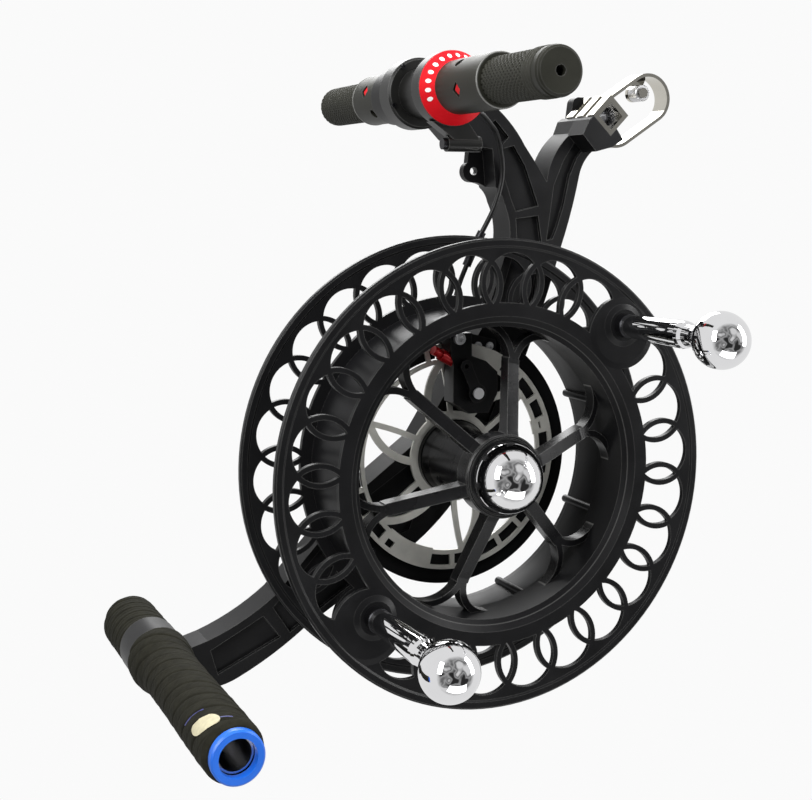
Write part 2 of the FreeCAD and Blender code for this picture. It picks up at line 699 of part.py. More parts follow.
# ---------------------------------------------------------------- brake cable

CABLE_ROUTE = [
    (-8.5, 20, 238.3), (8, 42, 237), (35, 71, 225), (43, 78, 199), (37, 78.2, 176), (22, 83.8, 145),
    (10, 84.5, 118), (4, 81, 98), (0, 72, 86)]


def rounded_route(points):
    """Straight runs joined by tangent arcs, each as large as its two runs allow."""
    edges = []
    here = points[0]
    for before, corner, after in zip(points, points[1:], points[2:]):
        first, second = before - corner, after - corner
        turn = math.pi - first.getAngle(second)
        reach = 0.45 * min(first.Length, second.Length)
        print("cable arc radius %.1f" % (reach / math.tan(turn / 2)))
        first.normalize()
        second.normalize()
        start, end = corner + first * reach, corner + second * reach
        inward = first + second
        inward.normalize()
        radius = reach / math.tan(turn / 2)
        crown = corner + inward * (math.hypot(radius, reach) - radius)
        edges.append(Part.LineSegment(here, start).toShape())
        edges.append(Part.Arc(start, crown, end).toShape())
        here = end
    edges.append(Part.LineSegment(here, points[-1]).toShape())
    return edges


def swept(edges, radius):
    path = Part.Wire(edges)
    foot = edges[0].valueAt(edges[0].FirstParameter)
    along = edges[0].tangentAt(edges[0].FirstParameter)
    section = Part.Wire([Part.makeCircle(float(radius), foot, along)])
    return path.makePipeShell([section], True, False)


def cable():
    edges = rounded_route([Vector(*spot) for spot in CABLE_ROUTE])
    line = swept(edges, d.cable_radius)
    ideal = sum(edge.Length for edge in edges) * math.pi * float(d.cable_radius) ** 2
    print("cable volume against section times length: %.4f" % (line.Volume / ideal))
    shaped("brake_cable", line)
    shaped("cable_ferrule", swept(edges[9:10], 3.1).cut(line))
    return line


# ---------------------------------------------------------------- frame

FRAME_BACK = d.frame_front + d.frame_depth
CRADLE = [(106, 239.5), (120, 225.5), (125, 230.5), (130.5, 223), (122, 217.5), (108, 214), (97, 226),
          (102.5, 237)]
BACKPLATE = [(98.7, 227.5), (108.5, 236), (110.5, 250), (117, 255.3, 112.2, 253.8), (128, 255.5),
             (135.5, 248, 133.4, 253.3), (135.5, 238), (126, 226), (112, 218)]
LUG_FRONT = d.frame_front + 16      # the strap's lug is thinner than the neck it grows from
LUG_BACK = d.frame_front + 22
LUG_SIDE = [(10, 186), (37.5, 187), (35, 215.5), (10, 218)]
PANELS = [
    [(-175, -120), (-170, -137), (-126, -117), (-138, -101)],
    [(-131, -96), (-119, -114.5), (-66, -81), (-84, -46)],
    [(-62, -26), (-52, -58), (-30, -52), (-19, -22), (-28, -4)],
    [(4, 34), (32, 20), (50, 62), (24, 74)],
    [(54, 166), (72, 168), (75, 149), (67, 98), (38, 98), (55, 150)],
    [(52, 218), (61, 204), (68, 186), (72, 175), (54, 171), (50, 180), (43, 200), (40, 215)],
    [(37, 236), (48, 224), (42, 218), (34, 233)],
    [(79, 150), (84, 151), (88, 160), (93, 175), (98, 197), (104, 210), (112, 220), (104, 224),
     (93, 208), (85, 190)]]


# how far the arm, the neck and the guide's branch are stretched from the sizes they are drawn for
ARM_SHARE = (float(d.reach_x) / 210.5, float(d.reach_z) / 119.6)
NECK_SHARE = float(d.top_bar_z) / 251.5
BRANCH_SHARE = (float(d.guide_x) / 120.0, float(d.guide_z) / 239.5)


def stretched(step):
    """A drawn point of the frame moved with the axes it leads to."""
    spots = []
    for x, z in zip(step[0::2], step[1::2]):
        if z < 0:
            spots += [x * (ARM_SHARE[0] if x < 0 else 1.0), z * ARM_SHARE[1]]
        elif x > 74:
            spots += [x * BRANCH_SHARE[0], z * BRANCH_SHARE[1]]
        else:
            spots += [x, z * NECK_SHARE]
    return tuple(spots)


def frame_outline(waist, top):
    """Arm to the waist bar, hub, neck, and its two branches, as one closed outline."""
    sleeve = float(d.waist_sleeve)
    boss = float(d.bar_boss_radius)
    neck = [(28, 90), (49, 151), (44, 178, 48.4, 165), (27, 192, 38, 188), (23, 206, 19.5, 200), (24, 215),
            (5, 222)]
    branch = [(40, 243, 31, 250.2), (61, 218, 51.5, 231.5), (72, 203), (79, 192.5),
              (98.7, 227.5, 86.3, 213.5), (102.5, 237), (106, 239.5), (120, 225.5), (125, 230.5), (130.5, 223), (117, 215),
              (106, 197, 110, 207), (91, 145, 99.5, 171), (62, 66, 77.5, 105), (36, 0, 50, 34)]
    arm_above = [(-177, -113), (-129, -87, -152, -102), (-66, -20), (-22, 12)]
    arm_below = [(20, -14), (-25, -62, 1, -39), (-109, -113), (-156, -141, -133, -129),
                 (-190, -144.5, -173, -145.6)]
    return [(waist[0] + sleeve * 0.990, waist[1] + sleeve * 0.139)] + [
        stretched(step) for step in arm_above + neck] + [
        (top[0] + boss * 0.8, top[1] - boss * 0.6),
        (top[0] + boss * 0.64, top[1] + boss * 0.768, top[0] - boss * 0.995, top[1] - boss * 0.1),
        stretched((20, 255))] + [stretched(step) for step in branch + arm_below] + [
        (waist[0] + sleeve * 0.259, waist[1] - sleeve * 0.966)]


def frame_plate():
    waist = (-float(d.reach_x), -float(d.reach_z))
    top = (float(d.top_bar_x), float(d.top_bar_z))
    steps = frame_outline(waist, top)
    start = steps[0]
    steps[0] = start + (waist[0] - float(d.waist_sleeve) * 0.9, waist[1] + float(d.waist_sleeve) * 0.43)
    front, back = d.frame_front, FRAME_BACK
    plate = slab(steps, front, back)
    cradle = slab([stretched(step) for step in CRADLE], d.guide_front, front + 2)
    backplate = slab([stretched(step) for step in BACKPLATE], d.guide_back, back)
    backplate = backplate.cut(disc(5.6, d.guide_x, d.guide_z, d.guide_back - 1, back + 1))
    plate = joined([plate, cradle, backplate, disc(d.boss_radius, 0, 0, front, back)])
    for steps in PANELS:
        steps = [stretched(step) for step in steps]
        plate = plate.cut(slab(steps, front - 1, front + d.panel_depth))
        plate = plate.cut(slab(steps, back - d.panel_depth, back + 1))
    for start, end in ((front - 1, LUG_FRONT), (LUG_BACK, back + 1)):
        plate = plate.cut(slab([stretched(step) for step in LUG_SIDE], start, end))
    spots = [(d.axle_radius, 0, 0), (d.waist_bore + d.waist_tube_wall, waist[0], waist[1]),
             (d.core_radius, top[0], top[1]), (d.lug_hole_radius, *stretched((28, 200)))]
    for radius, x, z in spots:
        plate = plate.cut(disc(radius, x, z, front - 1, back + 1))
    for x, z in guard_screw_places():
        plate = plate.cut(disc(GUARD_SCREW, x, z, front - 1, front + GUARD_GRIP))
    for x, z in MOUNT_SCREWS:
        plate = plate.cut(disc(1.6, x, z, front - 1, front + MOUNT_GRIP))
    shaped("frame_plate", plate)


GUARD_SCREW = 1.25
GUARD_GRIP = 8.0
GUARD_DEPTH = 5.0
GUARD_WIDTH = 20.5


def guard_screw_places():
    return [polar(d.guard_radius - 4.2, angle) for angle in (50, 58, 214, 226)]


def disc_guard():
    front = d.frame_front - GUARD_DEPTH
    hoop = ring_slab(d.guard_radius - GUARD_WIDTH, d.guard_radius, front, d.frame_front)
    hoop = hoop.cut(slab([(-12, 58), (39, 52), (39, 100), (-12, 100)], front - 1, d.frame_front + 1))
    for x, z in guard_screw_places():
        hoop = hoop.cut(disc(GUARD_SCREW, x, z, front - 1, d.frame_front + 1))
    shaped("disc_guard", hoop)
    bolted("guard_screws", 2.2, 1.6, GUARD_SCREW, GUARD_DEPTH + GUARD_GRIP, front, guard_screw_places())


# ---------------------------------------------------------------- waist bar

TUBE = d.waist_bore + d.waist_tube_wall
WAIST = (-d.reach_x, -d.reach_z)


def grooved(inner, outer, front, back, pitch, depth, width):
    """Profile of a grip with square grooves turned into it."""
    lead = 1.2
    profile = [(inner, front), (outer - lead, front), (outer, front + lead)]
    count = int((float(back) - float(front) - 2 * lead) / pitch)
    for k in range(1, count):
        y = front + lead + pitch * k
        profile += [(outer, y - width / 2), (outer - depth, y - width / 4), (outer - depth, y + width / 4),
                    (outer, y + width / 2)]
    return profile + [(outer, back - lead), (outer - lead, back), (inner, back)]


def waist_bar():
    x, z = WAIST
    grip = d.waist_grip_radius
    rear = d.waist_rear_radius
    front_end = d.waist_front + d.end_ring_length
    rear_end = d.waist_rear - d.end_ring_length
    collar = d.frame_front - 30
    turned("waist_bar_tube", [(d.waist_bore, front_end + 1), (TUBE, front_end + 1), (TUBE, rear_end - 1),
                              (d.waist_bore, rear_end - 1)], x, z)
    turned("waist_grip_front", grooved(TUBE, grip, front_end, collar, 17.0, 1.0, 2.4), x, z)
    turned("waist_collar", [
        (TUBE, collar), (grip, collar), (grip + 1.2, collar + 8), (grip + 2.4, collar + 18),
        (grip + 2.7, collar + 24), (grip + 2.2, d.frame_front - 1.5), (grip + 1, d.frame_front),
        (TUBE, d.frame_front)], x, z)
    turned("waist_grip_rear", grooved(TUBE, rear, FRAME_BACK, rear_end, 12.0, 0.8, 2.4), x, z)
    rings = [turned("waist_ring_" + side, [
        (TUBE, front), (d.waist_ring_radius - 1, front), (d.waist_ring_radius, front + 1),
        (d.waist_ring_radius, back - 1), (d.waist_ring_radius - 1, back), (TUBE, back)], x, z, keep=False)
        for side, front, back in (("front", d.waist_front, front_end), ("rear", rear_end, d.waist_rear))]
    group("waist_rings", rings)


def group(name, pieces):
    """Several equal pieces kept together as separate solids of one part."""
    piece = doc.addObject("Part::Compound", name + "_group")
    piece.Label = name
    piece.Links = pieces
    PARTS[name] = piece
    return piece


# ---------------------------------------------------------------- top bar

TOP = (d.top_bar_x, d.top_bar_z)
UNDER = 12.0                # radius under the rubber grip and the dial
GRIP_FRONT = d.bar_front + 9
SLEEVE_FRONT = d.sleeve_front


def twist_grip():
    """Everything that turns by hand on the front half of the bar's core."""
    x, z = TOP
    bore = d.core_radius + d.running_gap
    tube = turned("twist_sleeve_turning", [
        (bore, GRIP_FRONT), (UNDER, GRIP_FRONT), (UNDER, SLEEVE_FRONT), (d.sleeve_radius - 1, SLEEVE_FRONT),
        (d.sleeve_radius, SLEEVE_FRONT + 1), (d.sleeve_radius, d.dial_front), (UNDER, d.dial_front),
        (UNDER, d.dial_back), (bore, d.dial_back)], x, z, keep=False)
    radius = float(d.sleeve_radius)
    tx, tz = float(TOP[0]), float(TOP[1])
    pin_hole = rod(*side_hole(-18.5, 50, radius + 2, radius - 4), 3.6)
    window = window_shape(-26, -15, radius, 4.0, 5.2)
    cuts = shaped("twist_sleeve_holes", Part.makeCompound([pin_hole, window]), keep=False)
    cut("twist_sleeve", tube, cuts)
    shaped("twist_window", window_shape(-26, -15, radius - 0.8, 3.2, 3.4))
    turned("twist_grip_rubber", grooved(UNDER, d.grip_radius, GRIP_FRONT, SLEEVE_FRONT, 4.1, 0.7, 1.6), x, z)
    turned("twist_cap", [
        (3.2, d.bar_front), (d.grip_radius - 1.6, d.bar_front), (d.grip_radius - 0.2, d.bar_front + 1),
        (d.grip_radius + 0.3, d.bar_front + 3), (d.grip_radius, GRIP_FRONT), (d.core_radius + 2, GRIP_FRONT),
        (d.core_radius + 2, d.bar_front + 5), (3.2, d.bar_front + 5)], x, z)
    turned("drag_dial", [
        (UNDER, d.dial_front), (d.sleeve_radius, d.dial_front), (d.dial_radius - 0.6, d.dial_back - 2.4),
        (d.dial_radius, d.dial_back - 1.6), (d.dial_radius, d.dial_back), (UNDER, d.dial_back)], x, z)


def side_hole(y, rise, outer, inner):
    """Two points on a line out of the bar's axis, to the left and up by an angle."""
    angle = math.radians(rise)
    tx, tz = float(TOP[0]), float(TOP[1])
    return [at(tx - r * math.cos(angle), tz + r * math.sin(angle), y) for r in (outer, inner)]


def window_shape(y, rise, radius, depth, half):
    """Diamond in a sleeve's side, from its surface inward."""
    outer, inner = side_hole(y, rise, radius + 3, radius - depth)
    inward = inner - outer
    across = inward.cross(Vector(0, 1, 0))
    across.normalize()
    corners = [outer + Vector(0, half, 0), outer + across * half, outer - Vector(0, half, 0),
               outer - across * half]
    plug = Part.Face(Part.makePolygon(corners + corners[:1])).extrude(inward)
    return plug.common(Part.makeCylinder(radius, 40, at(*TOP, y - 20), Vector(0, 1, 0)))


def top_bar(line):
    x, z = TOP
    core_front = d.bar_front + 12
    core_back = d.bar_rear - 4
    turned("bar_core", [(0, core_front), (d.core_radius - 1, core_front), (d.core_radius, core_front + 1),
                        (d.core_radius, core_back), (0, core_back)], x, z)
    clamp(line)
    front, back = d.end_disc_front, d.frame_front
    blank = turned("bar_end_disc_turning", [
        (d.core_radius, front), (d.dial_radius - 1.5, front), (d.dial_radius, front + 1.5),
        (d.dial_radius, back - 0.8), (d.dial_radius - 0.8, back), (d.core_radius, back)], x, z, keep=False)
    spots = [(float(x) + 22.0 * math.cos(math.radians(a)), float(z) + 22.0 * math.sin(math.radians(a)))
             for a in (128, 203)]
    holes = [disc(0.9, sx, sz, front - 1, front + 6) for sx, sz in spots]
    cut("bar_end_disc", blank, shaped("bar_end_disc_holes", Part.makeCompound(holes), keep=False))
    bolted("end_disc_screws", 1.7, 1.0, 0.9, 6.0, front, spots)
    rear_handle(x, z, FRAME_BACK)


def rear_handle(x, z, front):
    trim = front + 40
    back = d.bar_rear
    radius = d.sleeve_radius
    sleeve = turned("rear_sleeve_turning", [
        (d.core_radius, front), (radius, front), (radius, trim - 1), (radius - 1, trim),
        (d.core_radius, trim)], x, z, keep=False)
    pin_hole = rod(*side_hole(116, -41, float(radius) + 2, float(radius) - 4), 3.6)
    window = window_shape(124, 17, float(radius), 4.0, 5.2)
    cuts = shaped("rear_sleeve_holes", Part.makeCompound([pin_hole, window]), keep=False)
    cut("rear_sleeve", sleeve, cuts)
    shaped("rear_window", window_shape(124, 17, float(radius) - 0.8, 3.2, 3.4))
    profile = grooved(d.core_radius, d.grip_radius, trim, back - 4, 4.1, 0.7, 1.6)[:-2]
    turned("rear_grip", profile + [(d.grip_radius, back - 2), (d.grip_radius - 2, back), (0, back),
                                   (0, back - 4), (d.core_radius, back - 4)], x, z)


def clamp(line):
    """Clamp on the core behind the dial, with a drum back to the end disc and a pinch barrel below."""
    front, back = d.clamp_front, d.clamp_back
    tx, tz = float(TOP[0]), float(TOP[1])
    middle = (float(front) + float(back)) / 2
    hoop = ring_slab(0.1, d.dial_radius, front, back, tx, tz)
    drum = disc(d.sleeve_radius - 0.5, tx, tz, back, d.end_disc_front)
    tail = slab([(-42, 230), (-16, 230), (-7, 218), (-9, 212), (-18, 213)], front + 1, back - 1)
    barrel = rod(Vector(-30, middle, 216), Vector(-6, middle, 216), 5.2)
    body = joined([hoop, drum, tail, barrel])
    body = body.cut(disc(d.core_radius, tx, tz, front - 1, d.end_disc_front + 1))
    screw = joined([rod(Vector(-32, middle, 216), Vector(-8, middle, 216), 2.2),
                    rod(Vector(-33, middle, 216), Vector(-30, middle, 216), 3.8)])
    shaped("bar_clamp", body.cut(screw).cut(line))
    shaped("bar_clamp_screw", screw)


# ---------------------------------------------------------------- crank knobs

def cranks():
    gap = d.running_gap
    shaft = d.spindle_radius
    sleeve_end = -d.bush_length - 0.3
    ball_centre = -d.ball_reach
    spindles, bushes, nuts = [], [], []
    for side, (x, z) in CRANKS.items():
        spindles.append(turned("crank_spindle_" + side, [
            (0, -86), (shaft - 0.6, -86), (shaft, -85.4), (shaft, d.flange_wall + 7), (0, d.flange_wall + 7)],
            x, z, keep=False))
        bushes.append(turned("crank_bush_" + side, [
            (shaft, -d.bush_length), (d.bush_radius - 0.8, -d.bush_length),
            (d.bush_radius, 0.8 - d.bush_length), (d.bush_radius, -d.crank_pad_rise),
            (shaft, -d.crank_pad_rise)], x, z, keep=False))
        corners = [polar(8.0, 60 * k + 30) for k in range(6)]
        hexagon = slab(corners, d.flange_wall, d.flange_wall + 5).cut(disc(shaft, 0, 0, 0, 20))
        nuts.append(shaped("spindle_nut_" + side, hexagon, x, z, keep=False))
        blank = turned("crank_sleeve_turning_" + side, [
            (shaft + gap, sleeve_end), (7.25, sleeve_end), (7.75, sleeve_end - 0.5), (8.3, -40), (8.9, -64),
            (9.0, -71), (8.5, -74), (7.2, -76.5), (6.8, -80), (7.0, -84), (8.0, -88), (10.4, -92.5),
            (13.4, -96.4), (d.cup_radius - 0.4, -98.6), (d.cup_radius, -99.6), (d.cup_radius - 1.4, -99.6),
            (0, -99.6), (0, -86.5), (shaft + gap, -86.5)], x, z, keep=False)
        seat = ball("ball_seat_" + side, x, z, ball_centre, keep=False)
        cut("crank_sleeve_" + side, blank, seat)
        ball("crank_ball_" + side, x, z, ball_centre)
    group("crank_spindles", spindles)
    group("crank_bushes", bushes)
    group("spindle_nuts", nuts)


def ball(name, x, z, y, keep=True):
    """Grip ball of a crank."""
    piece = doc.addObject("Part::Sphere", name)
    piece.Label = name if keep else name + "_tool"
    piece.setExpression("Radius", formula(d.ball_radius))
    piece.setExpression("Placement.Base.x", formula(d.reach_x + x))
    piece.setExpression("Placement.Base.y", formula(d.reel_front + y))
    piece.setExpression("Placement.Base.z", formula(d.reach_z + z))
    if keep:
        PARTS[name] = piece
    return piece


# ---------------------------------------------------------------- line guide

GUIDE = (float(d.guide_x), float(d.guide_z))
LOOP_NEAR = (GUIDE[0] + 4.0, GUIDE[1] - 4.5)
LOOP_FAR = (GUIDE[0] + 32.0, GUIDE[1] + 13.5)
ROLLER = (LOOP_FAR[0] - 4.0, LOOP_FAR[1] + 4.0)
ROLLER_PIN = 2.0


def diamond(half, front, back):
    x, z = GUIDE
    half = float(half)
    return slab([(x - half, z), (x, z + half), (x + half, z), (x, z - half)], front, back)


def line_guide():
    front, back = d.guide_front, d.guide_back
    wall = float(d.guide_wall) * math.sqrt(2)
    half = float(d.guide_half)
    shell = [diamond(half, front, back)]
    shell += [diamond(half + 1.5, front + 14.5 * k, front + 14.5 * k + 9) for k in range(3)]
    x, z = GUIDE
    keep_out = slab([(x, z - half), (x + half + 5, z + 5), (x + half + 5, z - half - 5), (x, z - half - 5),
                     (x - half - 5, z - half - 5), (x - half - 5, z + 5), (x - half, z)], front - 1, back + 1)
    tube = joined(shell).cut(keep_out).cut(diamond(half - wall, front - 1, back + 1))
    shaped("guide_block", tube)
    insert = diamond(half - wall, front + 5, back - 1)
    throat = rod(at(x, z, front), at(x, z, back), 4.4)
    flare_front = Part.makeCone(6.6, 4.4, 8, at(x, z, front + 5), Vector(0, 1, 0))
    flare_back = Part.makeCone(4.4, 6.6, 8, at(x, z, back - 9), Vector(0, 1, 0))
    shaped("guide_insert", insert.cut(throat).cut(flare_front).cut(flare_back))
    guide_loop(front)


def guide_loop(front):
    """Hoop that springs from the block's upper and lower corners, with a web for the roller's pin."""
    back = front + d.loop_depth
    outer = float(d.loop_radius)
    inner = outer - float(d.loop_wall)
    x, z = GUIDE
    half = float(d.guide_half)
    hoop = stadium(LOOP_NEAR, LOOP_FAR, outer, front, back)
    hoop = hoop.cut(stadium(LOOP_NEAR, LOOP_FAR, inner, front - 1, back + 1))
    web_end = (LOOP_FAR[0] + 2, LOOP_FAR[1] + outer)
    web = joined([disc(6.0, *ROLLER, back - 3, back), bar(ROLLER, web_end, 9, back - 3, back)])
    hoop = joined([hoop, web.common(stadium(LOOP_NEAR, LOOP_FAR, outer - 1, front, back))])
    hoop = hoop.cut(slab([(x - 40, z - 40), (x + 1, z - 40), (x + 1, z + 40), (x - 40, z + 40)], front - 1,
                         back + 1))
    hoop = hoop.cut(diamond(half + 1.5, front - 1, back + 1))
    hoop = hoop.cut(slab([stretched(step) for step in CRADLE], front - 1, back + 1))
    hoop = max(hoop.Solids, key=lambda solid: solid.Volume)
    shaped("guide_loop", hoop.cut(disc(ROLLER_PIN, *ROLLER, front - 1, back + 1)))
    pin = joined([disc(ROLLER_PIN, *ROLLER, front + 1.6, back), disc(3.6, *ROLLER, front + 0.4, front + 1.6)])
    shaped("guide_roller_pin", pin)
    ring("guide_roller", ROLLER_PIN + d.running_gap, 6.0, front + 2, back - 3.4, *ROLLER)


def stadium(near, far, radius, front, back):
    return joined([disc(radius, *near, front, back), disc(radius, *far, front, back),
                   bar(near, far, 2 * radius, front, back)])


# ---------------------------------------------------------------- build and export

front_flange()
rear_flange()
spool_drum()
flange_screws()
reel_spider()
hub_barrel()
ball_bearings()
hub_bezel()
hub_cap()
axle()
brake_disc()
cable_line = cable()
caliper(cable_line)
lever()
frame_plate()
disc_guard()
waist_bar()
twist_grip()
top_bar(cable_line)
cranks()
line_guide()
doc.recompute()

os.makedirs("parts", exist_ok=True)
for thing in doc.Objects:
    if "Invalid" in thing.State or "Error" in thing.State:
        raise RuntimeError("%s is %s" % (thing.Name, thing.State))
for name in sorted(PARTS):
    shape = PARTS[name].Shape
    if shape.isNull() or not shape.isValid() or not shape.Solids:
        raise RuntimeError("%s has no sound solid" % name)
    shape.exportStep("parts/%s.step" % name)
    box = shape.BoundBox
    print("%-18s solids %2d volume %9.1f  x %7.1f %7.1f  y %7.1f %7.1f  z %7.1f %7.1f" % (
        name, len(shape.Solids), shape.Volume, box.XMin, box.XMax, box.YMin, box.YMax, box.ZMin, box.ZMax))
print("pieces", len(PARTS))
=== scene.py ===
"""Looks of the kite line winder: camera, studio, materials and fine pieces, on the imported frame."""
import math

import bpy
from mathutils import Matrix, Vector


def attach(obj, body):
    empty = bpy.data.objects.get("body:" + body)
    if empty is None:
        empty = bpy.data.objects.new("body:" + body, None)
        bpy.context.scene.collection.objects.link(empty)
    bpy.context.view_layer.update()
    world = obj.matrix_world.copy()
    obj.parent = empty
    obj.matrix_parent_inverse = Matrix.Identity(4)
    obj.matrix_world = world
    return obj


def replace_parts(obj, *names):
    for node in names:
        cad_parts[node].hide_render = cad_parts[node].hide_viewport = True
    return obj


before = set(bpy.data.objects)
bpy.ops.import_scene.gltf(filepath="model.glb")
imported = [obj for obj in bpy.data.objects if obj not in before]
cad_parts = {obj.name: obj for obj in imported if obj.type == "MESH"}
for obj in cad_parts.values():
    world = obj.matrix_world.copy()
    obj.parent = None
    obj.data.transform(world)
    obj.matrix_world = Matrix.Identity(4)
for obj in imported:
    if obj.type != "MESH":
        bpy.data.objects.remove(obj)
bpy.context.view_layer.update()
scene = bpy.context.scene

MM = 0.001
TURN = 2 * math.pi
REEL = Vector((208.3, -34.0, 117.8)) * MM       # axle at the front flange's face, in the row frame
BAR = (-28.0, 251.5)                            # top bar's axis from the axle, mm
WAIST = (-208.3, -117.8)                        # waist bar's axis from the axle, mm


def at(x, y, z):
    """A place given in millimetres from the axle and the front flange's face."""
    return REEL + Vector((x, y, z)) * MM


# ---------------------------------------------------------------- camera

IMAGE_WIDTH = 812
IMAGE_HEIGHT = 800
SENSOR_WIDTH = 36.0
FOCAL_PIXELS = 1386.2
PRINCIPAL = (406.0, 278.0)                      # pixel that the optical axis passes
CAMERA_TURN = math.radians(-23.750)
CAMERA_RISE = math.radians(3.322)
CAMERA_SPOT = (-417.8, -796.8, 181.1)           # mm from the axle
CAMERA_CLIP = (0.01, 50)


def add_camera():
    back = Vector((math.sin(CAMERA_TURN) * math.cos(CAMERA_RISE),
                   -math.cos(CAMERA_TURN) * math.cos(CAMERA_RISE), math.sin(CAMERA_RISE)))
    right = Vector((math.cos(CAMERA_TURN), math.sin(CAMERA_TURN), 0))
    up = back.cross(right)
    data = bpy.data.cameras.new("camera")
    data.sensor_width = SENSOR_WIDTH
    data.lens = FOCAL_PIXELS * data.sensor_width / IMAGE_WIDTH
    data.shift_x = (IMAGE_WIDTH / 2 - PRINCIPAL[0]) / IMAGE_WIDTH
    data.shift_y = (PRINCIPAL[1] - IMAGE_HEIGHT / 2) / IMAGE_WIDTH
    data.clip_start, data.clip_end = CAMERA_CLIP
    camera = bpy.data.objects.new("camera", data)
    turn = Matrix((right, up, back)).transposed().to_4x4()
    camera.matrix_world = Matrix.Translation(at(*CAMERA_SPOT)) @ turn
    scene.collection.objects.link(camera)
    scene.camera = camera


# ---------------------------------------------------------------- materials

EDGE_REACH = 0.8 * MM           # how far from an edge the painted highlight reaches
EDGE_SAMPLES = 4
EDGE_COSINES = (0.995, 0.9)     # face against rounded normal, where the painted highlight starts and is full
EDGE_WARMTH = 0.97              # blue of the painted edge highlight against its red
DRIFT_RANGE = (0.3, 0.7)        # noise values between which a colour drifts
DRIFT_DETAIL = 4
GRAIN_DETAIL = 3
LEAST_ROUGHNESS = 0.02


def paint_edge_highlight(nodes, links, color, shader, edge):
    """Paints a highlight on sharp edges: their colour is made lighter than the faces, standing in for
    rounded edges catching the light.
    """
    rounded = nodes.new("ShaderNodeBevel")
    rounded.samples = EDGE_SAMPLES
    rounded.inputs["Radius"].default_value = EDGE_REACH
    surface = nodes.new("ShaderNodeNewGeometry")
    dot = nodes.new("ShaderNodeVectorMath")
    dot.operation = "DOT_PRODUCT"
    links.new(rounded.outputs["Normal"], dot.inputs[0])
    links.new(surface.outputs["Normal"], dot.inputs[1])
    share = nodes.new("ShaderNodeMapRange")
    share.inputs["From Min"].default_value = EDGE_COSINES[0]
    share.inputs["From Max"].default_value = EDGE_COSINES[1]
    links.new(dot.outputs["Value"], share.inputs["Value"])
    mix = nodes.new("ShaderNodeMix")
    mix.data_type = "RGBA"
    links.new(share.outputs["Result"], mix.inputs["Factor"])
    links.new(color, mix.inputs["A"])
    mix.inputs["B"].default_value = (edge, edge, edge * EDGE_WARMTH, 1)
    links.new(mix.outputs["Result"], shader.inputs["Base Color"])


def textured(name, color, roughness, metallic=0.0, grain=0.0006, bump=0.08, spread=0.15,
             patch=0.02, rough_spread=0.08, specular=0.5, stretch=(1, 1, 1), edge=0.0):
    """A surface with fine grain as bump and a slow drift of colour and roughness.

    grain and patch are the sizes of the grain and of the drift in metres, spread and rough_spread
    how far colour and roughness drift, and edge is the grey of a painted highlight on sharp edges, 0
    for none.
    """
    material = bpy.data.materials.new(name)
    material.use_nodes = True
    nodes, links = material.node_tree.nodes, material.node_tree.links
    shader = nodes["Principled BSDF"]
    shader.inputs["Metallic"].default_value = metallic
    shader.inputs["Specular IOR Level"].default_value = specular
    place = nodes.new("ShaderNodeTexCoord")
    scale = nodes.new("ShaderNodeMapping")
    scale.inputs["Scale"].default_value = stretch
    links.new(place.outputs["Object"], scale.inputs["Vector"])

    slow = nodes.new("ShaderNodeTexNoise")
    slow.inputs["Scale"].default_value = 1 / patch
    slow.inputs["Detail"].default_value = DRIFT_DETAIL
    links.new(scale.outputs["Vector"], slow.inputs["Vector"])
    drift = nodes.new("ShaderNodeValToRGB")
    low, high = drift.color_ramp.elements
    low.position, high.position = DRIFT_RANGE
    low.color = [c * (1 - spread) for c in color] + [1]
    high.color = [min(c * (1 + spread), 1) for c in color] + [1]
    links.new(slow.outputs["Fac"], drift.inputs["Fac"])
    # edge paints a highlight on sharp edges, lighter than the faces
    if edge:
        paint_edge_highlight(nodes, links, drift.outputs["Color"], shader, edge)
    else:
        links.new(drift.outputs["Color"], shader.inputs["Base Color"])
    gloss = nodes.new("ShaderNodeMapRange")
    gloss.inputs["To Min"].default_value = max(roughness - rough_spread, LEAST_ROUGHNESS)
    gloss.inputs["To Max"].default_value = roughness + rough_spread
    links.new(slow.outputs["Fac"], gloss.inputs["Value"])
    links.new(gloss.outputs["Result"], shader.inputs["Roughness"])

    fine = nodes.new("ShaderNodeTexNoise")
    fine.inputs["Scale"].default_value = 1 / grain
    fine.inputs["Detail"].default_value = GRAIN_DETAIL
    links.new(scale.outputs["Vector"], fine.inputs["Vector"])
    relief = nodes.new("ShaderNodeBump")
    relief.inputs["Strength"].default_value = bump
    relief.inputs["Distance"].default_value = grain * 0.5
    links.new(fine.outputs["Fac"], relief.inputs["Height"])
    links.new(relief.outputs["Normal"], shader.inputs["Normal"])
    return material
